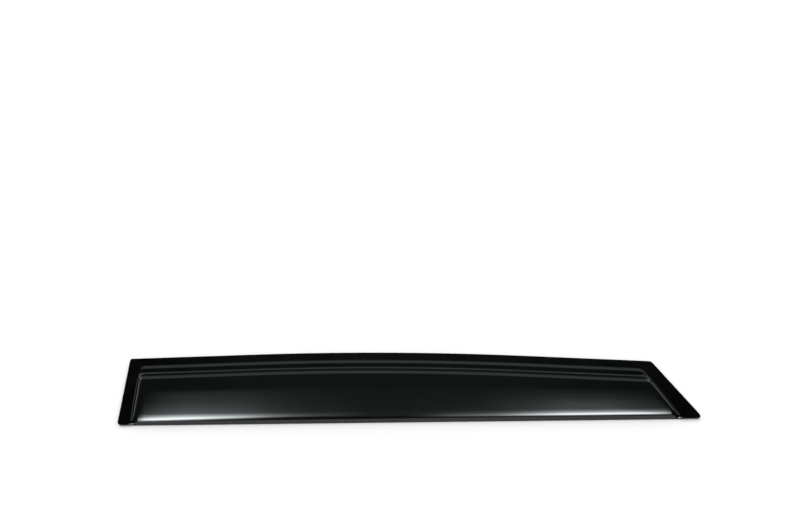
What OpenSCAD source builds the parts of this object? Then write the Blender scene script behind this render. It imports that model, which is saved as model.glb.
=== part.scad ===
// Window rain deflector for a rear side door, moulded from one smoked acrylic sheet.
// It lies face up: X runs along the door, Y up the window and Z out from the glass.
// The face is a shallow blister with a stepped top and a free lower edge that rolls over.
// A flat flange runs round the other three sides and carries the adhesive tape.
// One end is plumb, the other is raked to follow the door frame.

/* [Outline] */
// Length of the free lower edge, from corner to corner
free_edge_length = 750; // [675:5:825]
// Height of the plumb end above the free edge
plumb_end_height = 95.9; // [90:0.1:104]
// How far the plumb end leans in, from its lower corner to its top corner. Below 0, it leans out.
plumb_end_lean = -0.6; // [-3:0.1:6]
// Height of the raked end above the free edge
raked_end_height = 83; // [77:0.1:91]
// How far the raked end leans in, from its lower corner to its top corner
raked_end_lean = 51; // [40:0.1:63]
// Slope of the top edge beside the plumb end, rising, in degrees
top_slope_plumb = 1.46; // [1.2:0.02:2.2]
// Slope of the top edge beside the raked end, falling, in degrees
top_slope_raked = 3.54; // [3:0.02:4]
// Radius of the long bend between the two straight runs of the top edge
top_bend_radius = 4200; // [3000:10:5500]
// Size of the rounding on the two top corners
top_corner = 2.5; // [1:0.1:4]
// Size of the rounding on the lower corner of the plumb end
plumb_corner = 4.8; // [3:0.1:6]
// Size of the rounding on the lower corner of the raked end
raked_corner = 7; // [5:0.1:9]

/* [Sheet] */
// Thickness of the acrylic sheet
wall = 2.5; // [1.8:0.1:2.8]
// Inner radius of the raised bends, where the sheet turns away from the glass
inner_bend = 0.9; // [0.4:0.1:1.2]
// Outer radius of the hollow bend at the foot of the first step
step_1_foot_bend = 8; // [3:0.5:9]
// Outer radius of the hollow bend at the foot of the second step
step_2_foot_bend = 2.2; // [1:0.1:2.4]
// Outer radius of the hollow bend at the foot of the shoulder
shoulder_foot_bend = 10; // [4:0.5:10.5]
// Outer radius of the hollow bend at the foot of the plumb end's wall
plumb_foot_bend = 6; // [2:0.1:6]
// Outer radius of the hollow bend at the foot of the raked end's wall
raked_foot_bend = 2.5; // [1:0.1:5]

/* [Stepped top] */
// Width of the flat flange along the top edge
top_flange = 11.4; // [11:0.1:14]
// Rise of the first step above the flange
step_1_rise = 2.5; // [1.8:0.1:3.2]
// Run of the slope of the first step
step_1_run = 5.8; // [5:0.1:7]
// Width of the shelf between the two steps
shelf_width = 6.3; // [5:0.1:9]
// Rise of the second step
step_2_rise = 2.1; // [1.4:0.1:2.4]
// Run of the slope of the second step
step_2_run = 2.3; // [2.2:0.1:3]
// Width of the narrow ledge above the second step
ledge_width = 3.9; // [3.8:0.1:5]
// Rise of the long shoulder that leads into the panel
shoulder_rise = 2.8; // [2:0.1:2.9]
// Run of the shoulder
shoulder_run = 5.6; // [5.4:0.1:7]

/* [Panel and ends] */
// How much lower the panel ends at the roll than it starts at the shoulder
panel_fall = 0.2; // [-0.8:0.1:1]
// Slope of the crowned panel where it leaves the shoulder, rising, in degrees
panel_top_slope = 3.2; // [1:0.1:5]
// Slope of the crowned panel where it reaches the roll, falling, in degrees
panel_low_slope = 4; // [1:0.1:6]
// Outer radius of the rolled free edge
roll_radius = 10; // [7:0.1:11]
// Slope of the straight lip in which the roll ends, in degrees
roll_angle = 60; // [54:1:72]
// Width of the flange at the plumb end, beside the free edge
plumb_flange = 16; // [14.4:0.1:18]
// Width of the flange at the plumb end, beside the top edge
plumb_flange_top = 14.4; // [14.2:0.1:18]
// Width of the flange at the raked end, beside the free edge
raked_flange = 22.4; // [17:0.1:24]
// Width of the flange at the raked end, beside the top edge
raked_flange_top = 16; // [14:0.1:20]
// Slope of the two end walls, in degrees
end_wall_slope = 48; // [42:1:56]
// Radius along the top of the two end walls
end_wall_round = 10; // [6:0.5:11]

/* [Adhesive tape] */
// Thickness of the foam tape
tape_thickness = 0.8; // [0.5:0.1:1.2]
// Thickness of the release film on the tape
film_thickness = 0.1; // [0.05:0.01:0.2]
// Width of the tape along the top flange
top_tape_width = 8; // [6:0.5:8]
// Width of the tape on the end flanges
end_tape_width = 10; // [7:0.5:10.5]
// Distance from the edge of the sheet to the tape
tape_margin = 1.5; // [1:0.1:2]
// Gap between two strips of tape
tape_gap = 1; // [0.5:0.1:2]
// Distance from the lower corners to the end tapes
tape_low_margin = 6; // [5:0.5:12]

/* [Hidden] */

// Number of columns between the end walls, and of pieces in each bend
middle_columns = 26;
bend_pieces = 4;
round_pieces = 7;
roll_pieces = 6;
lip_pieces = 2;
// Places across a corner, from its edge to the end of its rounding
corner_share = [0, 0.13, 0.4, 0.7, 1];
// Places down the panel, from the shoulder to the roll
panel_share = [0.25, 0.5, 0.75];
// Enough rounds of the search for a height on the top edge to settle it
search_rounds = 5;

flange_back = film_thickness + tape_thickness;
flange_face = flange_back + wall;
raised_bend = inner_bend + wall;
shoulder_top = step_1_rise + step_2_rise + shoulder_rise;
crest = shoulder_top - panel_fall;
roll_drop = roll_radius * (cos(panel_low_slope) - cos(roll_angle));
lip_run = (crest + wall - roll_drop) / tan(roll_angle);
roll_depth = lip_run + roll_radius * (sin(roll_angle) - sin(panel_low_slope));
half_length = free_edge_length / 2;

// The ends are straight lines: each has its foot at the free edge and a lean in X per mm of Y.
plumb_lean = plumb_end_lean / plumb_end_height;
raked_lean = -raked_end_lean / raked_end_height;

// The top edge is two straight runs from the top corners, with a long bend tangent to both.
plumb_top = [-half_length + plumb_end_lean, plumb_end_height];
raked_top = [half_length - raked_end_lean, raked_end_height];
top_meet_x = (raked_top.y - plumb_top.y + tan(top_slope_raked) * raked_top.x + tan(top_slope_plumb) * plumb_top.x)
    / (tan(top_slope_plumb) + tan(top_slope_raked));
top_meet_y = plumb_top.y + tan(top_slope_plumb) * (top_meet_x - plumb_top.x);
top_tangent = top_bend_radius * tan((top_slope_plumb + top_slope_raked) / 2);
bend_start_x = top_meet_x - top_tangent * cos(top_slope_plumb);
bend_end_x = top_meet_x + top_tangent * cos(top_slope_raked);
bend_centre = [bend_start_x + top_bend_radius * sin(top_slope_plumb),
    top_meet_y - top_tangent * sin(top_slope_plumb) - top_bend_radius * cos(top_slope_plumb)];
overall_height = bend_centre.y + top_bend_radius;

// Height of the top edge at x
function top_y(x) =
    x < bend_start_x ? plumb_top.y + tan(top_slope_plumb) * (x - plumb_top.x) :
    x > bend_end_x ? raked_top.y + tan(top_slope_raked) * (raked_top.x - x) :
    bend_centre.y + sqrt(pow(top_bend_radius, 2) - pow(x - bend_centre.x, 2));

// Slope of the top edge at x
function top_slope(x) =
    x < bend_start_x ? tan(top_slope_plumb) :
    x > bend_end_x ? -tan(top_slope_raked) :
    (bend_centre.x - x) / sqrt(pow(top_bend_radius, 2) - pow(x - bend_centre.x, 2));

// Height on a leaning line, at a depth straight below the top edge
function depth_y(foot_x, lean, depth, y = overall_height, rounds = search_rounds) =
    rounds <= 0 ? y : depth_y(foot_x, lean, depth, top_y(foot_x + lean * y) - depth, rounds - 1);

// Length of the slanted unit of a leaning line
function slant(lean) = sqrt(1 + lean * lean);

// Stations along a bend of radius r at the corner b of a section a-b-c.
// Each station is its distance, its height and the slope there.
function bend(a, b, c, r, pieces) =
    let (start_angle = atan2(b.y - a.y, b.x - a.x),
         end_angle = atan2(c.y - b.y, c.x - b.x),
         side = sign(end_angle - start_angle),
         tangent = r * tan(abs(end_angle - start_angle) / 2),
         start = b - tangent * [cos(start_angle), sin(start_angle)],
         centre = start + side * r * [-sin(start_angle), cos(start_angle)])
    [for (k = [0 : pieces])
        let (angle = start_angle + (end_angle - start_angle) * k / pieces)
        [centre.x + side * r * sin(angle), centre.y - side * r * cos(angle), tan(angle)]];

// Corners of the stepped section: depth below the top edge and height above the flange
step_1_foot = [top_flange, 0];
step_1_head = step_1_foot + [step_1_run, step_1_rise];
step_2_foot = step_1_head + [shelf_width, 0];
step_2_head = step_2_foot + [step_2_run, step_2_rise];
shoulder_foot = step_2_head + [ledge_width, 0];
shoulder_head = shoulder_foot + [shoulder_run, shoulder_rise];
panel_aim = shoulder_head + [cos(panel_top_slope), sin(panel_top_slope)];

top_stations = concat(
    [for (share = corner_share) [share * top_corner, 0, 0]],
    bend([0, 0], step_1_foot, step_1_head, step_1_foot_bend, bend_pieces),
    bend(step_1_foot, step_1_head, step_2_foot, raised_bend, bend_pieces),
    bend(step_1_head, step_2_foot, step_2_head, step_2_foot_bend, bend_pieces),
    bend(step_2_foot, step_2_head, shoulder_foot, raised_bend, bend_pieces),
    bend(step_2_head, shoulder_foot, shoulder_head, shoulder_foot_bend, bend_pieces),
    bend(shoulder_foot, shoulder_head, panel_aim, raised_bend, bend_pieces / 2));
shoulder_end = top_stations[len(top_stations) - 1];

// Rows from the top edge to the free edge. A row holds its kind and its station.
TOP = 0;
PANEL = 1;
ROLL = 2;
LIP = 3;
rows = concat(
    [for (station = top_stations) [TOP, station]],
    [for (share = panel_share) [PANEL, share]],
    [for (k = [0 : roll_pieces]) [ROLL, panel_low_slope + (roll_angle - panel_low_slope) * k / roll_pieces]],
    [for (k = [1 : lip_pieces]) [LIP, k / lip_pieces]]);

// The foot of an end wall is a leaning line too, which follows from the two widths of its flange
plumb_wall = [plumb_flange * slant(plumb_lean) - half_length,
    plumb_lean + (plumb_flange_top - plumb_flange) * slant(plumb_lean) / plumb_end_height];
raked_wall = [half_length - raked_flange * slant(raked_lean),
    raked_lean - (raked_flange_top - raked_flange) * slant(raked_lean) / raked_end_height];

// Stations across an end wall: distance from its foot, share of the full height, and its slope
function wall_stations(foot_bend) =
    let (foot = [0, 0], head = [crest / tan(end_wall_slope), crest])
    [for (station = concat(
        bend([-1, 0], foot, head, foot_bend, bend_pieces),
        bend(foot, head, head + [1, 0], end_wall_round, round_pieces)))
        [station.x, station.y / crest, station.z / crest]];

// A column is its foot on the free edge, its lean, the share of the full height that it keeps,
// the gradient of that share, and its distance along the free edge from each corner.
function end_column(station, side, line) =
    let (foot_x = line[0] + side * station.x * slant(line[1]))
    [foot_x, line[1], station.y, station.z * [side, -side * line[1]] / slant(line[1]), half_length + foot_x,
     half_length - foot_x];

// Columns of an end, from its edge over its flat corner to the top of its wall
function end_columns(side, lean, corner, line, foot_bend) = concat(
    [for (share = corner_share) end_column([share * corner, 0, 0], side, [-side * half_length, lean])],
    [for (station = wall_stations(foot_bend)) end_column(station, side, line)]);
plumb_columns = end_columns(1, plumb_lean, plumb_corner, plumb_wall, plumb_foot_bend);
raked_columns = end_columns(-1, raked_lean, raked_corner, raked_wall, raked_foot_bend);
plumb_last = plumb_columns[len(plumb_columns) - 1];
raked_last = raked_columns[len(raked_columns) - 1];
columns = concat(
    plumb_columns,
    [for (k = [1 : middle_columns - 1]) plumb_last + (raked_last - plumb_last) * k / middle_columns],
    [for (k = [len(raked_columns) - 1 : -1 : 0]) raked_columns[k]]);

// Distances from two edges, moved in so that their square corner becomes a round one
function rounded(a, b, size) =
    let (s = 1 - a / size, t = 1 - b / size)
    s <= 0 || t <= 0 ? [a, b] :
    let (pull = max(s, t) / norm([s, t]))
    [size * (1 - s * pull), size * (1 - t * pull)];

// Foot of a column and depth of a row, with the two top corners rounded
function top_spot(column, depth) =
    let (plumb = rounded(column[4], depth, top_corner),
         raked = rounded(column[5], depth, top_corner),
         foot_x = column[0] + (plumb.x - column[4]) - (raked.x - column[5]),
         y = depth_y(foot_x, column[1], plumb.y + raked.y - depth))
    [foot_x + column[1] * y, y];

// Foot of a column and height of a row, with the two lower corners rounded
function low_spot(column, y) =
    let (plumb = rounded(column[4], y, plumb_corner),
         raked = rounded(column[5], y, raked_corner),
         foot_x = column[0] + (plumb.x - column[4]) - (raked.x - column[5]),
         low_y = plumb.y + raked.y - y)
    [foot_x + column[1] * low_y, low_y];

// A spot on the outer face and the one straight through the sheet from it
function sheet(spot, height, gradient) =
    let (face = [spot.x, spot.y, flange_face + height],
         normal = [-gradient.x, -gradient.y, 1] / norm([gradient.x, gradient.y, 1]))
    [face, face - wall * normal];

// Outer and inner spot of a row of the stepped top
function top_pair(column, station) =
    let (spot = top_spot(column, station.x),
         fall = station.z * column[2] * [top_slope(spot.x), -1])
    sheet(spot, station.y * column[2], fall + station.y * column[3]);

// Outer and inner spot on the panel, at a share of its way from the shoulder to the roll. The panel
// is a cubic with a given height and slope at both ends.
function panel_pair(column, share) =
    let (top = depth_y(column[0], column[1], shoulder_end.x),
         reach = top - roll_depth,
         left = 1 - share,
         start = tan(panel_top_slope) * reach,
         end = tan(panel_low_slope) * reach,
         rise = crest - shoulder_end.y,
         height = shoulder_end.y + rise * share * share * (3 - 2 * share)
             + start * share * left * left + end * share * share * left,
         slope = (6 * rise * share * left + start * left * (1 - 3 * share) + end * share * (2 - 3 * share)) / reach,
         y = top - reach * share)
    sheet([column[0] + column[1] * y, y], height * column[2], column[2] * [0, -slope] + height * column[3]);

// The free edge is measured along its own line, so that its cut face is flat. At a column, this is
// the slope along the edge, the thickness straight down through the sheet, and the face's height.
function edge_section(column) =
    let (slope = crest * column[3])
    [slope.x, wall * norm([slope.x, slope.y, 1]) / (1 + pow(slope.x, 2)), flange_face + crest * column[2]];

// A spot of the outer face and one of the inner face of the free edge, at two heights and depths
function edge_pair(column, outer_y, outer_z, inner_y, inner_z) =
    let (section = edge_section(column), outer = low_spot(column, outer_y), inner = low_spot(column, inner_y))
    [[outer.x, outer.y, outer_z], [inner.x + section[0] * section[1], inner.y, inner_z]];

// Top of the inner face at a column, where the roll starts
function under_roll(column) =
    let (section = edge_section(column))
    section[2] - section[1] * (1 - column[2] * (1 - cos(panel_low_slope)));

// Outer and inner spot on the rolled edge. The roll fades out with the height of the end walls.
function roll_pair(column, angle) =
    let (y = roll_depth - roll_radius * (sin(angle) - sin(panel_low_slope)),
         drop = column[2] * (cos(panel_low_slope) - cos(angle)))
    edge_pair(column, y, edge_section(column)[2] - drop * roll_radius,
        y + column[2] * wall * sin(angle), under_roll(column) - drop * (roll_radius - wall));

// Outer and inner spot on the lip, at a share of its way down to the back of the flange
function lip_pair(column, share) =
    let (keep = column[2],
         outer_top = edge_section(column)[2] - keep * roll_drop,
         inner_top = under_roll(column) - keep * roll_drop * (1 - wall / roll_radius),
         inner_y = lip_run + keep * wall * sin(roll_angle),
         inner_foot = keep * wall / sin(roll_angle),
         outer_foot = flange_back + (1 - keep) * wall)
    edge_pair(column, lip_run * (1 - share), outer_top + (outer_foot - outer_top) * share,
        inner_y + (inner_foot - inner_y) * share, inner_top + (flange_back - inner_top) * share);

function pair(column, row) =
    row[0] == TOP ? top_pair(column, row[1]) :
    row[0] == PANEL ? panel_pair(column, row[1]) :
    row[0] == ROLL ? roll_pair(column, row[1]) :
    lip_pair(column, row[1]);

// Outline of the sheet, from its rounded corners and the peak of its top edge
heel_x = min([for (row = rows) pair(columns[0], row)[0].x]);
tip_x = max([for (row = rows) pair(columns[len(columns) - 1], row)[0].x]);
peak_y = max([for (column = columns) pair(column, rows[0])[0].y]);

// Sets the part on the middle of its own outline
module centred() {
    translate([-(heel_x + tip_x) / 2, -peak_y / 2, 0]) children();
}

// The moulded sheet: flange, stepped top, panel, end walls and rolled edge in one piece
module visor() {
    across = len(columns);
    down = len(rows);
    layer = across * down;
    pairs = [for (row = rows) for (column = columns) pair(column, row)];
    points = concat([for (p = pairs) p[0]], [for (p = pairs) p[1]]);
    outer = [for (j = [0 : down - 2]) for (i = [0 : across - 2])
        let (a = j * across + i) each [[a, a + 1, a + across + 1], [a, a + across + 1, a + across]]];
    inner = [for (face = outer) [face[0] + layer, face[2] + layer, face[1] + layer]];
    rim = concat(
        [for (i = [0 : across - 1]) i],
        [for (j = [1 : down - 1]) j * across + across - 1],
        [for (i = [across - 2 : -1 : 0]) (down - 1) * across + i],
        [for (j = [down - 2 : -1 : 1]) j * across]);
    edge = [for (k = [0 : len(rim) - 1])
        let (a = rim[k], b = rim[(k + 1) % len(rim)])
        each [[a, a + layer, b + layer], [a, b + layer, b]]];
    color("#14181a")
        centred()
        polyhedron(points = points, faces = concat(outer, inner, edge), convexity = 8);
}

// Line parallel to an end at a distance from it, as its foot and its lean
function plumb_line(distance) = [distance * slant(plumb_lean) - half_length, plumb_lean];
function raked_line(distance) = [half_length - distance * slant(raked_lean), raked_lean];

function on_line(line, y) = [line[0] + line[1] * y, y];
function below_top(line, depth) = on_line(line, depth_y(line[0], line[1], depth));

// Outline of the strip along the top flange
module top_strip() {
    first = plumb_line(tape_margin);
    last = raked_line(tape_margin);
    lines = [for (k = [0 : middle_columns]) first + (last - first) * k / middle_columns];
    polygon(concat(
        [for (line = lines) below_top(line, tape_margin)],
        [for (k = [middle_columns : -1 : 0]) below_top(lines[k], tape_margin + top_tape_width)]));
}

// Outline of the strip on an end flange, between two lines parallel to that end
module end_strip(outside, inside) {
    depth = tape_margin + top_tape_width + tape_gap;
    polygon([on_line(outside, tape_low_margin), on_line(inside, tape_low_margin),
             below_top(inside, depth), below_top(outside, depth)]);
}

module plumb_strip() {
    end_strip(plumb_line(tape_margin), plumb_line(tape_margin + end_tape_width));
}

module raked_strip() {
    end_strip(raked_line(tape_margin), raked_line(tape_margin + end_tape_width));
}

// Foam tape, which lies on the back of the flange
module tape() {
    color("#2b2d30")
        centred()
        translate([0, 0, film_thickness])
        linear_extrude(height = tape_thickness)
        children();
}

// Release film, which covers the tape until it is fitted
module film() {
    color("#b3202a")
        centred()
        linear_extrude(height = film_thickness)
        children();
}

visor();
tape() top_strip();  // tape_top
tape() plumb_strip();  // tape_plumb_end
tape() raked_strip();  // tape_raked_end
film() top_strip();  // film_top
film() plumb_strip();  // film_plumb_end
film() raked_strip();  // film_raked_end
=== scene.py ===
"""A tape-on window rain deflector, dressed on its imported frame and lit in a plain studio."""

import logging
import math
from dataclasses import dataclass, field
from enum import Enum
from typing import Any

import bpy
import numpy as np
from mathutils import Matrix, Vector


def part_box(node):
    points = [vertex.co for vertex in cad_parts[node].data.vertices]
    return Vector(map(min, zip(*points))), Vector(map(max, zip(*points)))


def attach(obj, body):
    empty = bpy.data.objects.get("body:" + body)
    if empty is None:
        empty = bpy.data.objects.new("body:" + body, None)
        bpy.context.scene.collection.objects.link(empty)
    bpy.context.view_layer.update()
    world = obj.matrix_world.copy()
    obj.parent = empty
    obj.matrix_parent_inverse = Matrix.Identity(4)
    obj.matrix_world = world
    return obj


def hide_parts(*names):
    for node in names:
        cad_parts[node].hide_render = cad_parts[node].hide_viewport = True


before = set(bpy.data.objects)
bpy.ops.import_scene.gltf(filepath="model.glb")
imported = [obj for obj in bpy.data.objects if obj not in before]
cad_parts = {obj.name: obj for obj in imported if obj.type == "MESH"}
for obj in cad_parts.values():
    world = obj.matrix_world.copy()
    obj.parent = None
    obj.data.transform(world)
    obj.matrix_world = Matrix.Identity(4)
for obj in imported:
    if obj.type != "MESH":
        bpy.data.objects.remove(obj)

log = logging.getLogger("deflector")

MM = 0.001


class Side(Enum):
    """The two ends of the deflector, each with the direction that leads inwards from it."""

    PLUMB = 1
    RAKED = -1


class Port:
    """A socket of a node tree, on which ordinary arithmetic adds Math nodes."""

    def __init__(self, graph: "Graph", socket: Any) -> None:
        """Keeps the socket and the graph that it belongs to."""
        self.graph = graph
        self.socket = socket

    def _math(self, operation: str, *values: Any, clamp: bool = False) -> "Port":
        """Adds a Math node.

        Args:
            operation: the node's operation.
            values: its inputs, as numbers or ports.
            clamp: True to keep the result between 0 and 1.

        Returns:
            The node's result.
        """
        settings = {"operation": operation, "use_clamp": clamp}
        return self.graph.node("ShaderNodeMath", settings, dict(enumerate(values)))

    def __add__(self, other: Any) -> "Port":
        """Returns self + other."""
        return self._math("ADD", self, other)

    def __radd__(self, other: Any) -> "Port":
        """Returns other + self."""
        return self._math("ADD", other, self)

    def __sub__(self, other: Any) -> "Port":
        """Returns self - other."""
        return self._math("SUBTRACT", self, other)

    def __rsub__(self, other: Any) -> "Port":
        """Returns other - self."""
        return self._math("SUBTRACT", other, self)

    def __mul__(self, other: Any) -> "Port":
        """Returns self * other."""
        return self._math("MULTIPLY", self, other)

    def __rmul__(self, other: Any) -> "Port":
        """Returns other * self."""
        return self._math("MULTIPLY", other, self)

    def __truediv__(self, other: Any) -> "Port":
        """Returns self / other."""
        return self._math("DIVIDE", self, other)

    def __rtruediv__(self, other: Any) -> "Port":
        """Returns other / self."""
        return self._math("DIVIDE", other, self)

    def clamped(self) -> "Port":
        """Returns self kept between 0 and 1."""
        return self._math("ADD", self, 0.0, clamp=True)

    def angle_from(self, other: Any) -> "Port":
        """Returns the arc tangent of self over other, in radians."""
        return self._math("ARCTAN2", self, other)


class Graph:
    """A material's or a world's node tree."""

    def __init__(self, owner: Any) -> None:
        """Takes over the owner's node tree and empties it.

        Args:
            owner: a material or a world.
        """
        owner.use_nodes = True
        self.tree = owner.node_tree
        self.tree.nodes.clear()

    def node(self, kind: str, settings: dict[str, Any] | None = None,
             inputs: dict[Any, Any] | None = None, output: Any = 0) -> Port:
        """Adds a node.

        Args:
            kind: the node's type.
            settings: its own settings, set before its sockets. A ramp's stops are a list of
                (place, colour) under "stops".
            inputs: what goes into each socket, by name or number: a value or a port.
            output: the socket to return, by name or number.

        Returns:
            The chosen output.
        """
        made = self.tree.nodes.new(kind)
        for name, value in (settings or {}).items():
            if name == "stops":
                self._stops(made.color_ramp, value)
            else:
                setattr(made, name, value)
        for name, value in (inputs or {}).items():
            if isinstance(value, Port):
                self.tree.links.new(value.socket, made.inputs[name])
            else:
                made.inputs[name].default_value = value
        return Port(self, made.outputs[output])

    @staticmethod
    def _stops(ramp: Any, stops: list[tuple[float, tuple[float, ...]]]) -> None:
        """Gives a colour ramp its stops.

        Args:
            ramp: the ramp.
            stops: place and colour of each stop, in order.
        """
        while len(ramp.elements) > 1:
            ramp.elements.remove(ramp.elements[-1])
        ramp.elements[0].position, ramp.elements[0].color = stops[0]
        for place, colour in stops[1:]:
            ramp.elements.new(place).color = colour

    def ramp(self, value: Port, stops: list[tuple[float, float]]) -> Port:
        """Returns a grey ramp of a value.

        Args:
            value: what the ramp reads.
            stops: place and grey of each stop.

        Returns:
            The ramp's grey.
        """
        greys = [(place, (grey, grey, grey, 1.0)) for place, grey in stops]
        return self.node("ShaderNodeValToRGB", {"stops": greys}, {"Fac": value})

    def mix(self, factor: Any, first: Any, second: Any) -> Port:
        """Mixes two colours.

        Args:
            factor: how much of the second shows.
            first: a colour or a port.
            second: a colour or a port.

        Returns:
            The mixed colour.
        """
        return self.node("ShaderNodeMix", {"data_type": "RGBA"}, {0: factor, 6: first, 7: second}, 2)

    def noise(self, place: Port, scale: float, detail: float = 2.0,
              roughness: float = 0.5) -> Port:
        """Returns a noise between 0 and 1 over a place in metres.

        Args:
            place: where the noise is read.
            scale: cells for each metre.
            detail: number of finer layers.
            roughness: strength of the finer layers.

        Returns:
            The noise.
        """
        return self.node("ShaderNodeTexNoise", inputs={
            "Vector": place, "Scale": scale, "Detail": detail, "Roughness": roughness})

    def place(self) -> Port:
        """Returns the surface's own place in metres."""
        return self.node("ShaderNodeTexCoord", output="Object")

    def part(self, vector: Port, axis: str) -> Port:
        """Returns one part of a vector, named by its axis."""
        return self.node("ShaderNodeSeparateXYZ", inputs={"Vector": vector}, output=axis)

    def bump(self, height: Port, depth: float, strength: float = 1.0) -> Port:
        """Returns a normal that is bent by a height.

        Args:
            height: the height, between 0 and 1.
            depth: depth of the relief in metres.
            strength: how much of it counts.

        Returns:
            The normal.
        """
        return self.node("ShaderNodeBump", inputs={
            "Strength": strength, "Distance": depth, "Height": height})

    def surface(self, shader: Port, kind: str = "ShaderNodeOutputMaterial") -> None:
        """Sends a shader to the output."""
        self.tree.links.new(shader.socket, self.tree.nodes.new(kind).inputs["Surface"])


@dataclass(frozen=True)
class SmokedAcrylic:
    """Dark smoked acrylic, drawn over a mould: deep gloss with a faint waviness and a little lint. Its
    taped flange has a painted shade, and its raised face painted light coming through it.
    """

    name: str = "smoked_acrylic"
    # Painted light: backed is the painted shade of the taped flange; clear paints the light that the
    # raised face lets through from the back.
    backed_painted_shade: tuple[float, ...] = (0.0005, 0.0006, 0.0006, 1.0)
    clear: tuple[float, ...] = (0.0024, 0.0032, 0.0034, 1.0)
    hazy: tuple[float, ...] = (0.0045, 0.0052, 0.0054, 1.0)
    flange_height: float = 3.9 * MM
    through_light_height: float = 9.0 * MM
    ior: float = 1.49
    cloud_scale: float = 22.0
    cloud_range: tuple[float, float] = (0.35, 0.65)
    cloud_share: float = 0.3
    gloss: float = 0.045
    smear_scale: float = 60.0
    smear_range: tuple[float, float] = (0.4, 0.75)
    smear_roughness: float = 0.035
    lint_scale: float = 900.0
    lint_roughness: float = 0.015
    wave_scale: float = 30.0
    wave_stretch: tuple[float, float, float] = (0.4, 1.0, 1.0)
    wave_depth: float = 0.09 * MM

    def build(self) -> Any:
        """Returns the material."""
        material = bpy.data.materials.new(self.name)
        graph = Graph(material)
        place = graph.place()
        height = graph.part(place, "Z")
        # Painted light: the flange, with tape behind it, gets the darker backed colour as a painted
        # shade. The raised face gets the lighter clear colour, which paints the little light it lets
        # through from the back.
        raised = ((height - self.flange_height) / (self.through_light_height - self.flange_height)).clamped()
        tone = graph.mix(raised, self.backed_painted_shade, self.clear)
        cloud = graph.ramp(graph.noise(place, self.cloud_scale),
                           list(zip(self.cloud_range, (0.0, self.cloud_share))))
        tone = graph.mix(cloud, tone, self.hazy)
        smear = graph.ramp(graph.noise(place, self.smear_scale, 4.0, 0.6),
                           list(zip(self.smear_range, (0.0, 1.0))))
        lint = graph.noise(place, self.lint_scale)
        roughness = self.gloss + self.smear_roughness * smear + self.lint_roughness * lint
        along = graph.node("ShaderNodeMapping", inputs={"Vector": place, "Scale": self.wave_stretch})
        wave = graph.noise(along, self.wave_scale, 1.0)
        shader = graph.node("ShaderNodeBsdfPrincipled", inputs={
            "Base Color": tone,
            "Roughness": roughness,
            "IOR": self.ior,
            "Normal": graph.bump(wave, self.wave_depth),
        })
        graph.surface(shader)
        return material


@dataclass(frozen=True)
class FoamTape:
    """Closed-cell acrylic foam: dull, dark and finely pitted along its cut edges."""

    name: str = "foam_tape"
    dark: tuple[float, ...] = (0.018, 0.019, 0.021, 1.0)
    light: tuple[float, ...] = (0.055, 0.058, 0.062, 1.0)
    cell_scale: float = 2600.0
    cell_depth: float = 0.12 * MM
    cell_strength: float = 0.8
    fleck_scale: float = 700.0
    dullness: float = 0.7
    fleck_dullness: float = 0.25

    def build(self) -> Any:
        """Returns the material."""
        material = bpy.data.materials.new(self.name)
        graph = Graph(material)
        place = graph.place()
        cells = graph.node("ShaderNodeTexVoronoi", inputs={"Vector": place, "Scale": self.cell_scale})
        fleck = graph.noise(place, self.fleck_scale, 3.0)
        shader = graph.node("ShaderNodeBsdfPrincipled", inputs={
            "Base Color": graph.mix(fleck, self.dark, self.light),
            "Roughness": self.dullness + self.fleck_dullness * fleck,
            "Normal": graph.bump(cells, self.cell_depth, self.cell_strength),
        })
        graph.surface(shader)
        return material


@dataclass(frozen=True)
class ReleaseFilm:
    """Red release film: smooth, with shallow puckers where it lies on the foam, and a painted sheen that
    lightens their crests.
    """

    name: str = "release_film"
    # Painted light: deep is the painted shade in the puckers' hollows, and bright is the painted sheen on
    # their crests.
    deep: tuple[float, ...] = (0.36, 0.010, 0.016, 1.0)
    pucker_sheen_red: tuple[float, ...] = (0.56, 0.026, 0.032, 1.0)
    pucker_scale: float = 140.0
    pucker_depth: float = 0.25 * MM
    pucker_strength: float = 0.7
    grain_scale: float = 2200.0
    gloss: float = 0.24
    grain_roughness: float = 0.12

    def build(self) -> Any:
        """Returns the material."""
        material = bpy.data.materials.new(self.name)
        graph = Graph(material)
        place = graph.place()
        pucker_and_sheen = graph.noise(place, self.pucker_scale, 2.0, 0.45)
        grain = graph.noise(place, self.grain_scale, 1.0)
        shader = graph.node("ShaderNodeBsdfPrincipled", inputs={
            # Painted light: the red lightens with the puckers' height, a painted sheen on their crests
            # and painted shade in their hollows.
            "Base Color": graph.mix(pucker_and_sheen, self.deep, self.pucker_sheen_red),
            "Roughness": self.gloss + self.grain_roughness * grain,
            "Normal": graph.bump(pucker_and_sheen, self.pucker_depth, self.pucker_strength),
        })
        graph.surface(shader)
        return material


@dataclass(frozen=True)
class PaleFloor:
    """Matt white studio sweep."""

    name: str = "pale_floor"
    white: tuple[float, ...] = (0.9, 0.9, 0.9, 1.0)

    def build(self) -> Any:
        """Returns the material."""
        material = bpy.data.materials.new(self.name)
        graph = Graph(material)
        graph.surface(graph.node("ShaderNodeBsdfDiffuse", inputs={"Color": self.white}))
        return material


def bend(a: np.ndarray, b: np.ndarray, c: np.ndarray, radius: float, pieces: int) -> np.ndarray:
    """Rounds the corner b of a section a-b-c.

    Args:
        a: the corner before.
        b: the corner to round.
        c: the corner after.
        radius: radius of the bend in millimetres.
        pieces: number of pieces in the bend.

    Returns:
        One station in each row: its distance, its height and the slope there.
    """
    first, last = (math.atan2(*(q - p)[::-1]) for p, q in ((a, b), (b, c)))
    side = math.copysign(1.0, last - first)
    tangent = radius * math.tan(abs(last - first) / 2)
    start = b - tangent * np.array([math.cos(first), math.sin(first)])
    centre = start + side * radius * np.array([-math.sin(first), math.cos(first)])
    angle = np.linspace(first, last, pieces + 1)
    return np.stack([centre[0] + side * radius * np.sin(angle),
                     centre[1] - side * radius * np.cos(angle), np.tan(angle)], axis=1)


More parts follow.
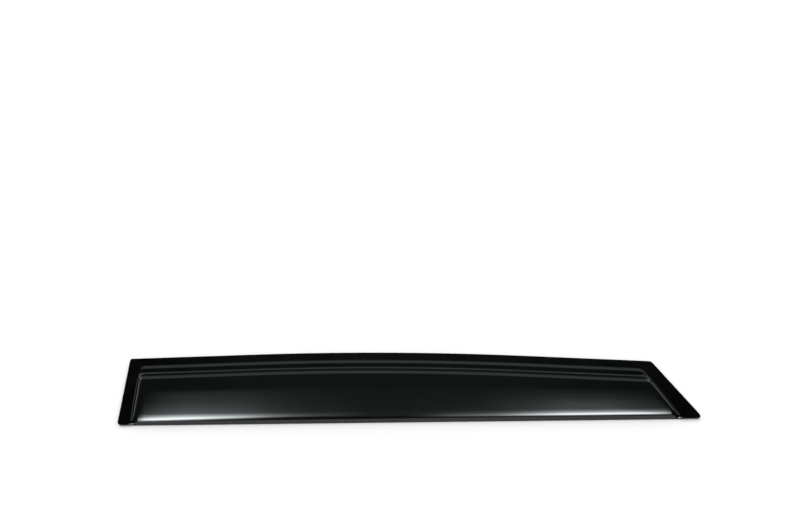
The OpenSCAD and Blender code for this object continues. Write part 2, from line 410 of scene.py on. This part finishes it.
@dataclass(frozen=True)
class Outline:
    """Plan of the sheet in millimetres, with its free edge along Y = 0."""

    free_edge_length: float = 750.0
    plumb_height: float = 95.9
    plumb_inset: float = -0.6
    raked_height: float = 83.0
    raked_inset: float = 51.0
    slope_plumb: float = math.radians(1.46)
    slope_raked: float = math.radians(3.54)
    bend_radius: float = 4200.0
    top_corner: float = 2.5
    plumb_corner: float = 4.8
    raked_corner: float = 7.0
    search_rounds: int = 6

    @property
    def half(self) -> float:
        """Half the length of the free edge."""
        return self.free_edge_length / 2

    def lean(self, side: Side) -> float:
        """Returns the lean of an end, in X for each unit of Y."""
        if side is Side.PLUMB:
            return self.plumb_inset / self.plumb_height
        return -self.raked_inset / self.raked_height

    def _long_bend(self) -> tuple[float, float, float, float]:
        """Works out the long bend of the top edge.

        Returns:
            X where it starts and ends, and the X and Y of its centre.
        """
        rise, fall = math.tan(self.slope_plumb), math.tan(self.slope_raked)
        left, right = self.plumb_inset - self.half, self.half - self.raked_inset
        meet_x = (self.raked_height - self.plumb_height + fall * right + rise * left) / (rise + fall)
        meet_y = self.plumb_height + rise * (meet_x - left)
        tangent = self.bend_radius * math.tan((self.slope_plumb + self.slope_raked) / 2)
        start = meet_x - tangent * math.cos(self.slope_plumb)
        end = meet_x + tangent * math.cos(self.slope_raked)
        start_y = meet_y - tangent * math.sin(self.slope_plumb)
        centre_y = start_y - self.bend_radius * math.cos(self.slope_plumb)
        return start, end, start + self.bend_radius * math.sin(self.slope_plumb), centre_y

    def top_y(self, x: np.ndarray) -> np.ndarray:
        """Returns the height of the top edge at x."""
        start, end, centre_x, centre_y = self._long_bend()
        rise, fall = math.tan(self.slope_plumb), math.tan(self.slope_raked)
        rising = self.plumb_height + rise * (x - self.plumb_inset + self.half)
        falling = self.raked_height + fall * (self.half - self.raked_inset - x)
        arc = centre_y + np.sqrt(self.bend_radius ** 2 - (x - centre_x) ** 2)
        return np.where(x < start, rising, np.where(x > end, falling, arc))

    def top_slope(self, x: np.ndarray) -> np.ndarray:
        """Returns the slope of the top edge at x."""
        start, end, centre_x, _ = self._long_bend()
        rise, fall = math.tan(self.slope_plumb), math.tan(self.slope_raked)
        arc = (centre_x - x) / np.sqrt(self.bend_radius ** 2 - (x - centre_x) ** 2)
        return np.where(x < start, rise, np.where(x > end, -fall, arc))

    def depth_y(self, foot_x: np.ndarray, lean: np.ndarray, depth: np.ndarray) -> np.ndarray:
        """Finds the height on leaning lines that is a depth straight below the top edge.

        Args:
            foot_x: X of each line's foot on the free edge.
            lean: X for each unit of Y along each line.
            depth: depth below the top edge.

        Returns:
            The height on each line.
        """
        y = np.full_like(foot_x, self.plumb_height)
        for _ in range(self.search_rounds):
            y = self.top_y(foot_x + lean * y) - depth
        return y


def rounded(a: np.ndarray, b: np.ndarray, size: float) -> tuple[np.ndarray, np.ndarray]:
    """Moves distances from two edges in, so that their square corner becomes a round one.

    Args:
        a: distance from one edge.
        b: distance from the other edge.
        size: size of the rounding.

    Returns:
        The two distances after the move.
    """
    s, t = 1 - a / size, 1 - b / size
    inside = (s > 0) & (t > 0)
    pull = np.maximum(s, t) / np.maximum(np.hypot(s, t), 1e-9)
    return np.where(inside, size * (1 - s * pull), a), np.where(inside, size * (1 - t * pull), b)


@dataclass(frozen=True)
class Slope:
    """A slope of the stepped section: its run, its rise and the radius of the hollow bend at its foot."""

    run: float
    rise: float
    foot_bend: float


@dataclass(frozen=True)
class EndWall:
    """An end's wall: its flange's width at the free edge and at the top, and the bend at its foot."""

    flange: float
    flange_top: float
    foot_bend: float


@dataclass
class Columns:
    """Lines across the sheet from the free edge to the top edge, one value of each kind for each line."""

    foot_x: np.ndarray
    lean: np.ndarray
    keep: np.ndarray
    gradient: np.ndarray


@dataclass
class Visor:
    """The moulded acrylic sheet as one smooth shell. Sizes in millimetres."""

    outline: Outline = field(default_factory=Outline)
    wall: float = 2.5
    flange_back: float = 0.9
    inner_bend: float = 0.9
    top_flange: float = 11.4
    step_1: Slope = Slope(5.8, 2.5, 8.0)
    shelf_width: float = 6.3
    step_2: Slope = Slope(2.3, 2.1, 2.2)
    ledge_width: float = 3.9
    shoulder: Slope = Slope(5.6, 2.8, 10.0)
    panel_fall: float = 0.2
    panel_top_slope: float = math.radians(3.2)
    panel_low_slope: float = math.radians(4.0)
    roll_radius: float = 10.0
    roll_angle: float = math.radians(60)
    plumb_wall: EndWall = EndWall(16.0, 14.4, 6.0)
    raked_wall: EndWall = EndWall(22.4, 16.0, 2.5)
    end_wall_slope: float = math.radians(48)
    end_wall_round: float = 10.0
    edge_break: float = 0.22
    edge_segments: int = 2
    edge_from: float = math.radians(48)
    sharp_from: float = math.radians(40)
    bend_pieces: int = 12
    round_pieces: int = 20
    roll_pieces: int = 22
    lip_pieces: int = 4
    panel_pieces: int = 20
    middle_pieces: int = 84
    corner_pieces: int = 8

    def __post_init__(self) -> None:
        """Works out the sizes that follow from the others."""
        self.face = self.flange_back + self.wall
        self.crest = self.step_1.rise + self.step_2.rise + self.shoulder.rise - self.panel_fall
        self.roll_drop = self.roll_radius * (math.cos(self.panel_low_slope) - math.cos(self.roll_angle))
        self.lip_run = (self.crest + self.wall - self.roll_drop) / math.tan(self.roll_angle)
        turned = math.sin(self.roll_angle) - math.sin(self.panel_low_slope)
        self.roll_depth = self.lip_run + self.roll_radius * turned
        self.stations = self._top_stations()
        self.columns = self._all_columns()

    def _corner_shares(self) -> np.ndarray:
        """Returns places across a corner, closest together at its edge."""
        return 1 - np.cos(np.linspace(0, math.pi / 2, self.corner_pieces + 1))

    def _top_stations(self) -> np.ndarray:
        """Returns the stations of the stepped section, from the top edge to the panel."""
        slopes = (self.step_1, self.step_2, self.shoulder)
        panel_way = np.array([math.cos(self.panel_top_slope), math.sin(self.panel_top_slope)])
        after = (np.array([self.shelf_width, 0.0]), np.array([self.ledge_width, 0.0]), panel_way)
        corners = [np.array([0.0, 0.0]), np.array([self.top_flange, 0.0])]
        for slope, level in zip(slopes, after):
            corners.append(corners[-1] + np.array([slope.run, slope.rise]))
            corners.append(corners[-1] + level)
        raised = self.inner_bend + self.wall
        radii = [radius for slope in slopes for radius in (slope.foot_bend, raised)]
        flat = [[share * self.outline.top_corner, 0.0, 0.0] for share in self._corner_shares()]
        bends = [bend(*corners[i:i + 3], radius, self.bend_pieces) for i, radius in enumerate(radii)]
        return np.concatenate([np.array(flat), *bends])

    def _end_columns(self, side: Side) -> Columns:
        """Returns the columns of one end, from its edge over its flat corner to the top of its wall.

        Args:
            side: which end.

        Returns:
            The columns.
        """
        outline, plumb = self.outline, side is Side.PLUMB
        wall = self.plumb_wall if plumb else self.raked_wall
        corner = outline.plumb_corner if plumb else outline.raked_corner
        height = outline.plumb_height if plumb else outline.raked_height
        edge_lean = outline.lean(side)
        slant = math.hypot(1.0, edge_lean)
        edge_x = self._corner_shares() * corner * slant - outline.half
        wall_lean = edge_lean + side.value * (wall.flange_top - wall.flange) * slant / height
        foot, head = np.zeros(2), np.array([self.crest / math.tan(self.end_wall_slope), self.crest])
        stations = np.concatenate([
            bend(np.array([-1.0, 0.0]), foot, head, wall.foot_bend, self.bend_pieces),
            bend(foot, head, head + np.array([1.0, 0.0]), self.end_wall_round, self.round_pieces)])
        wall_slant = math.hypot(1.0, wall_lean)
        wall_x = wall.flange * slant - outline.half + stations[:, 0] * wall_slant
        inwards = np.array([side.value, -side.value * wall_lean]) / wall_slant
        flat = np.zeros((len(edge_x), 2))
        return Columns(side.value * np.concatenate([edge_x, wall_x]),
                       np.concatenate([np.full_like(edge_x, edge_lean), np.full_like(wall_x, wall_lean)]),
                       np.concatenate([flat[:, 0], stations[:, 1] / self.crest]),
                       np.concatenate([flat, stations[:, 2:3] / self.crest * inwards]))

    def _all_columns(self) -> Columns:
        """Returns all columns, from the plumb end to the raked end."""
        plumb, raked = self._end_columns(Side.PLUMB), self._end_columns(Side.RAKED)
        share = np.linspace(0, 1, self.middle_pieces + 1)[1:-1]

        def join(first: np.ndarray, last: np.ndarray) -> np.ndarray:
            """Joins the two ends' values by evenly spaced ones."""
            spread = share if first.ndim == 1 else share[:, None]
            return np.concatenate([first, first[-1] + (last[-1] - first[-1]) * spread, last[::-1]])

        return Columns(join(plumb.foot_x, raked.foot_x), join(plumb.lean, raked.lean),
                       join(plumb.keep, raked.keep), join(plumb.gradient, raked.gradient))

    def _spot(self, depth: float | None, y: float | None) -> tuple[np.ndarray, np.ndarray]:
        """Places a row at a depth below the top edge or at a height above the free edge.

        Args:
            depth: depth below the top edge, or None.
            y: height above the free edge, or None.

        Returns:
            X and Y of the row's spots, with the corners rounded.
        """
        outline, columns = self.outline, self.columns
        level = np.full_like(columns.foot_x, depth if y is None else y)
        sizes = (outline.top_corner, outline.top_corner) if y is None else \
            (outline.plumb_corner, outline.raked_corner)
        from_plumb, from_raked = outline.half + columns.foot_x, outline.half - columns.foot_x
        plumb_x, plumb_level = rounded(from_plumb, level, sizes[0])
        raked_x, raked_level = rounded(from_raked, level, sizes[1])
        foot_x = columns.foot_x + (plumb_x - from_plumb) - (raked_x - from_raked)
        level = plumb_level + raked_level - level
        height = level if depth is None else outline.depth_y(foot_x, columns.lean, level)
        return foot_x + columns.lean * height, height

    def _sheet(self, x: np.ndarray, y: np.ndarray, height: np.ndarray,
               gradient: np.ndarray) -> tuple[np.ndarray, np.ndarray]:
        """Returns a row on the outer face and the one straight through the sheet from it.

        Args:
            x: X of the spots.
            y: Y of the spots.
            height: height above the flange.
            gradient: slope of the face along X and Y.

        Returns:
            The outer row and the inner row.
        """
        outer = np.stack([x, y, self.face + height], axis=1)
        normal = np.concatenate([-gradient, np.ones((len(x), 1))], axis=1)
        return outer, outer - self.wall * normal / np.linalg.norm(normal, axis=1, keepdims=True)

    def _top_row(self, station: np.ndarray) -> tuple[np.ndarray, np.ndarray]:
        """Returns both faces' row of the stepped top at a station."""
        keep = self.columns.keep
        x, y = self._spot(station[0], None)
        downwards = np.stack([self.outline.top_slope(x), -np.ones_like(x)], axis=1)
        gradient = station[2] * keep[:, None] * downwards + station[1] * self.columns.gradient
        return self._sheet(x, y, station[1] * keep, gradient)

    def _panel_row(self, share: float) -> tuple[np.ndarray, np.ndarray]:
        """Returns both faces' row of the panel, at a share of its way down."""
        columns, last, left = self.columns, self.stations[-1], 1 - share
        top = self.outline.depth_y(columns.foot_x, columns.lean, np.full_like(columns.foot_x, last[0]))
        reach = top - self.roll_depth
        start, end = math.tan(self.panel_top_slope) * reach, math.tan(self.panel_low_slope) * reach
        rise = self.crest - last[1]
        height = (last[1] + rise * share ** 2 * (3 - 2 * share)
                  + start * share * left ** 2 + end * share ** 2 * left)
        slope = (6 * rise * share * left + start * left * (1 - 3 * share)
                 + end * share * (2 - 3 * share)) / reach
        y = top - reach * share
        fall = np.stack([np.zeros_like(slope), -slope * columns.keep], axis=1)
        return self._sheet(columns.foot_x + columns.lean * y, y, height * columns.keep,
                           fall + height[:, None] * columns.gradient)

    def _edge_row(self, outer_y: float, outer_z: np.ndarray, inner_y: np.ndarray,
                  inner_z: np.ndarray) -> tuple[np.ndarray, np.ndarray]:
        """Returns both faces' row of the free edge.

        Args:
            outer_y: height of the outer row above the free edge's line.
            outer_z: Z of the outer row.
            inner_y: height of the inner row above the free edge's line.
            inner_z: Z of the inner row.

        Returns:
            The outer row and the inner row.
        """
        outer_x, low = self._spot(None, outer_y)
        inner_x, inner_low = self._spot(None, inner_y)
        slope = self.crest * self.columns.gradient[:, 0]
        return (np.stack([outer_x, low, outer_z], axis=1),
                np.stack([inner_x + slope * self._through(), inner_low, inner_z], axis=1))

    def _through(self) -> np.ndarray:
        """Returns the thickness of the sheet straight down, measured along the free edge."""
        slope = self.crest * self.columns.gradient
        return self.wall * np.sqrt(1 + (slope ** 2).sum(axis=1)) / (1 + slope[:, 0] ** 2)

    def _under_roll(self) -> np.ndarray:
        """Returns Z of the inner face where the roll starts."""
        keep = self.columns.keep
        share = 1 - keep * (1 - math.cos(self.panel_low_slope))
        return self.face + self.crest * keep - self._through() * share

    def _roll_row(self, angle: float) -> tuple[np.ndarray, np.ndarray]:
        """Returns both faces' row of the roll, at an angle that it has turned through."""
        keep = self.columns.keep
        y = self.roll_depth - self.roll_radius * (math.sin(angle) - math.sin(self.panel_low_slope))
        drop = keep * (math.cos(self.panel_low_slope) - math.cos(angle))
        return self._edge_row(y, self.face + self.crest * keep - drop * self.roll_radius,
                              y + keep * self.wall * math.sin(angle),
                              self._under_roll() - drop * (self.roll_radius - self.wall))

    def _lip_row(self, share: float) -> tuple[np.ndarray, np.ndarray]:
        """Returns both faces' row of the lip, at a share of its way down to the flange's back."""
        keep = self.columns.keep
        outer_top = self.face + self.crest * keep - keep * self.roll_drop
        inner_top = self._under_roll() - keep * self.roll_drop * (1 - self.wall / self.roll_radius)
        inner_y = self.lip_run + keep * self.wall * math.sin(self.roll_angle)
        inner_foot = keep * self.wall / math.sin(self.roll_angle)
        outer_foot = self.flange_back + (1 - keep) * self.wall
        return self._edge_row(self.lip_run * (1 - share), outer_top + (outer_foot - outer_top) * share,
                              inner_y + (inner_foot - inner_y) * share,
                              inner_top + (self.flange_back - inner_top) * share)

    def rows(self) -> list[tuple[np.ndarray, np.ndarray]]:
        """Returns both faces' rows, from the top edge to the free edge."""
        panel = np.linspace(0, 1, self.panel_pieces + 1)[1:-1]
        roll = np.linspace(self.panel_low_slope, self.roll_angle, self.roll_pieces + 1)
        lip = np.linspace(0, 1, self.lip_pieces + 1)[1:]
        return [*(self._top_row(station) for station in self.stations),
                *(self._panel_row(share) for share in panel),
                *(self._roll_row(angle) for angle in roll),
                *(self._lip_row(share) for share in lip)]

    def build(self, finish: Any) -> Any:
        """Makes the shell and sets it on its node.

        Args:
            finish: the acrylic's material.

        Returns:
            The object.
        """
        rows = self.rows()
        down, across = len(rows), len(self.columns.foot_x)
        outer = np.concatenate([row[0] for row in rows])
        inner = np.concatenate([row[1] for row in rows])
        spots = np.concatenate([outer, inner]) * MM
        low = np.array(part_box("visor")[0])
        spots += np.array([low[0] - spots[:, 0].min(), low[1] - spots[:, 1].min(), 0.0])
        grid = np.arange(down * across).reshape(down, across)
        corners = [grid[:-1, :-1], grid[1:, :-1], grid[1:, 1:], grid[:-1, 1:]]
        top = np.stack(corners, axis=2).reshape(-1, 4)
        layer = down * across
        rim = np.concatenate([grid[0, :], grid[1:, -1], grid[-1, -2::-1], grid[-2:0:-1, 0]])
        after = np.roll(rim, -1)
        side = np.stack([rim, after, after + layer, rim + layer], axis=1)
        mesh = bpy.data.meshes.new("visor_shell")
        faces = np.concatenate([top, top[:, ::-1] + layer, side])
        mesh.from_pydata(spots.tolist(), [], faces.tolist())
        mesh.polygons.foreach_set("use_smooth", [True] * len(mesh.polygons))
        mesh.set_sharp_from_angle(angle=self.sharp_from)
        shell = bpy.data.objects.new("visor_shell", mesh)
        bpy.context.scene.collection.objects.link(shell)
        mesh.materials.append(finish)
        edge = shell.modifiers.new("edge_break", "BEVEL")
        edge.width, edge.segments = self.edge_break * MM, self.edge_segments
        edge.limit_method, edge.angle_limit = "ANGLE", self.edge_from
        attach(shell, "root")
        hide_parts("visor")
        log.info("visor_shell: %d faces", len(mesh.polygons))
        return shell


@dataclass(frozen=True)
class AdhesiveStrips:
    """The foam tape on the flange's back and the release film that covers it."""

    places: tuple[str, ...] = ("top", "plumb_end", "raked_end")

    def dress(self, foam: Any, film: Any) -> None:
        """Gives each strip its finish.

        Args:
            foam: the tape's material.
            film: the film's material.
        """
        for place in self.places:
            for kind, finish in (("tape", foam), ("film", film)):
                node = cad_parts[f"{kind}_{place}"]
                node.data.materials.clear()
                node.data.materials.append(finish)
                log.info("%s_%s: %s", kind, place, finish.name)


@dataclass(frozen=True)
class SoftLight:
    """A soft light of the studio.

    Places across run from 0 at the left, past 0.5 overhead, to 1 at the right. Places over run from 0 at
    the horizon behind the object, past 0.5 overhead, to 1 at the horizon behind the camera.
    """

    strength: float
    across: list[tuple[float, float]]
    over: list[tuple[float, float]]
    tail: list[tuple[float, float]] = field(default_factory=lambda: [(0.0, 1.0)])
    skew: float = 0.0
    skew_from: float = 0.5

    def glow(self, graph: Graph, across: Port, over: Port) -> Port:
        """Returns how brightly it shines from each direction.

        Args:
            graph: the world's graph.
            across: the direction's place across.
            over: the direction's place over the object.

        Returns:
            Its brightness. The tail is moved along by the skew.
        """
        moved = over + self.skew * (across - self.skew_from)
        return self.strength * graph.ramp(across, self.across) * graph.ramp(over, self.over) * \
            graph.ramp(moved, self.tail)


LIGHTS: dict[str, SoftLight] = {
    "backdrop": SoftLight(
        0.7, [(0.0, 1.0)],
        [(0.0, 0.5), (0.045, 0.52), (0.08, 0.66), (0.11, 0.7), (0.17, 0.28), (0.24, 0.1), (0.3, 0.0)]),
    "ceiling": SoftLight(
        0.25, [(0.36, 0.0), (0.4, 0.7), (0.44, 1.0), (0.56, 1.0), (0.6, 0.7), (0.64, 0.0)],
        [(0.34, 0.2), (0.346, 0.34), (0.39, 0.55), (0.43, 0.95), (0.72, 1.0), (0.79, 0.35), (0.84, 0.1),
         (0.95, 0.2)]),
    "left lamp": SoftLight(
        29.0,
        [(0.34, 0.0), (0.351, 0.9), (0.36, 1.0), (0.38, 1.0), (0.4, 0.7), (0.42, 0.2), (0.44, 0.06),
         (0.48, 0.0)],
        [(0.37, 0.0), (0.405, 0.03), (0.43, 0.08), (0.53, 0.15), (0.64, 0.3), (0.75, 0.8), (0.8, 1.0)],
        [(0.77, 1.0), (0.806, 0.75), (0.861, 0.26), (0.917, 0.06), (1.0, 0.0)], 2.78, 0.38),
    "left glow": SoftLight(
        20.0,
        [(0.35, 0.0), (0.358, 0.65), (0.37, 1.0), (0.4, 0.76), (0.42, 0.4), (0.44, 0.14), (0.48, 0.0)],
        [(0.34, 0.0), (0.346, 0.012), (0.358, 0.026), (0.389, 0.042), (0.41, 0.07), (0.53, 0.2),
         (0.64, 0.34), (0.72, 0.25), (0.76, 0.0)]),
    "right lamp": SoftLight(
        29.0,
        [(0.51, 0.0), (0.56, 0.16), (0.58, 0.5), (0.6, 0.98), (0.62, 1.0), (0.645, 0.92), (0.657, 0.7),
         (0.667, 0.0)],
        [(0.37, 0.0), (0.405, 0.03), (0.43, 0.07), (0.58, 0.2), (0.69, 0.48), (0.75, 0.8), (0.806, 1.0),
         (0.85, 0.5), (0.9, 0.08), (0.97, 0.0)],
        [(0.05, 0.5), (0.3, 0.65), (0.43, 1.0)], -20.0, 0.628),
    "right glow": SoftLight(
        1.0, [(0.54, 0.0), (0.58, 0.5), (0.6, 1.0), (0.62, 0.95), (0.645, 0.45), (0.656, 0.0)],
        [(0.34, 0.0), (0.346, 0.1), (0.358, 0.26), (0.389, 0.62), (0.41, 0.42), (0.44, 0.0)]),
}


@dataclass(frozen=True)
class Studio:
    """A white floor under a dark ceiling, with two lamps in front and a backdrop behind."""

    floor_size: float = 14.0
    focal_length: float = 36.0
    sensor_width: float = 36.0
    camera_place: tuple[float, float, float] = (-0.0099, -0.4829, 0.9519)
    camera_down: float = math.radians(54.5)
    camera_roll: float = math.radians(-0.6)
    camera_turn: float = math.radians(-0.09)
    camera_reach: tuple[float, float] = (0.05, 50.0)
    white: tuple[float, ...] = (1.0, 1.0, 1.0, 1.0)
    cool: tuple[float, ...] = (0.93, 0.99, 1.0, 1.0)
    dark: float = 0.02
    dome: float = 1.55
    front_share: float = 0.5
    front_range: tuple[float, float] = (0.35, 0.65)
    seen: float = 1.0

    def floor(self) -> Any:
        """Returns the floor."""
        half = self.floor_size / 2
        mesh = bpy.data.meshes.new("floor")
        corners = [(-half, -half, 0), (half, -half, 0), (half, half, 0), (-half, half, 0)]
        mesh.from_pydata(corners, [], [(0, 1, 2, 3)])
        mesh.materials.append(PaleFloor().build())
        sweep = bpy.data.objects.new("floor", mesh)
        bpy.context.scene.collection.objects.link(sweep)
        return sweep

    @staticmethod
    def background(graph: Graph, colour: tuple[float, ...], strength: Any) -> Port:
        """Returns a background of a colour and a strength."""
        return graph.node("ShaderNodeBackground", inputs={"Color": colour, "Strength": strength})

    def light(self) -> None:
        """Sets the world: what the gloss mirrors, and the light on the floor."""
        world = bpy.data.worlds.new("studio")
        bpy.context.scene.world = world
        graph = Graph(world)
        way = graph.node("ShaderNodeTexCoord", output="Generated")
        across, away, up = (graph.part(way, axis) for axis in "XYZ")
        over = up.angle_from(away) / math.pi
        sideways = across * 0.5 + 0.5
        lit = self.dark
        for light in LIGHTS.values():
            lit = lit + light.glow(graph, sideways, over)
        dome = self.dome * graph.ramp(over, list(zip(self.front_range, (1.0, self.front_share))))
        mirrored = self.background(graph, self.cool, lit)
        around = self.background(graph, self.white, dome)
        seen = self.background(graph, self.white, self.seen)
        glossy = graph.node("ShaderNodeLightPath", output="Is Glossy Ray")
        camera = graph.node("ShaderNodeLightPath", output="Is Camera Ray")
        shader = graph.node("ShaderNodeMixShader", inputs={0: glossy, 1: around, 2: mirrored})
        shader = graph.node("ShaderNodeMixShader", inputs={0: camera, 1: shader, 2: seen})
        graph.surface(shader, "ShaderNodeOutputWorld")

    def camera(self) -> Any:
        """Returns the camera, at the photograph's viewing angle."""
        down, roll = self.camera_down, self.camera_roll
        level = Vector((1.0, 0.0, 0.0))
        dropped = Vector((0.0, -math.sin(down), -math.cos(down)))
        ahead = Vector((0.0, math.cos(down), -math.sin(down)))
        right = math.cos(roll) * level - math.sin(roll) * dropped
        below = math.sin(roll) * level + math.cos(roll) * dropped
        axes = Matrix((right, -below, -ahead)).transposed()
        turn = Matrix.Rotation(self.camera_turn, 3, "Z")
        camera = bpy.data.objects.new("camera", bpy.data.cameras.new("camera"))
        camera.data.lens, camera.data.sensor_width = self.focal_length, self.sensor_width
        camera.data.sensor_fit = "HORIZONTAL"
        camera.data.clip_start, camera.data.clip_end = self.camera_reach
        camera.matrix_world = Matrix.Translation(self.camera_place) @ (turn @ axes).to_4x4()
        bpy.context.scene.collection.objects.link(camera)
        bpy.context.scene.camera = camera
        return camera

    def colours(self) -> None:
        """Sets a plain view, so that the floor comes out white and the sheet black."""
        view = bpy.context.scene.view_settings
        view.view_transform, view.look, view.exposure, view.gamma = "Standard", "None", 0.0, 1.0


def main() -> None:
    """Builds the pieces in order, then the studio."""
    logging.basicConfig(level=logging.INFO, format="%(name)s: %(message)s")
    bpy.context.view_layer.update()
    Visor().build(SmokedAcrylic().build())
    AdhesiveStrips().dress(FoamTape().build(), ReleaseFilm().build())
    studio = Studio()
    studio.floor()
    studio.light()
    studio.camera()
    studio.colours()


if __name__ == "__main__":
    main()
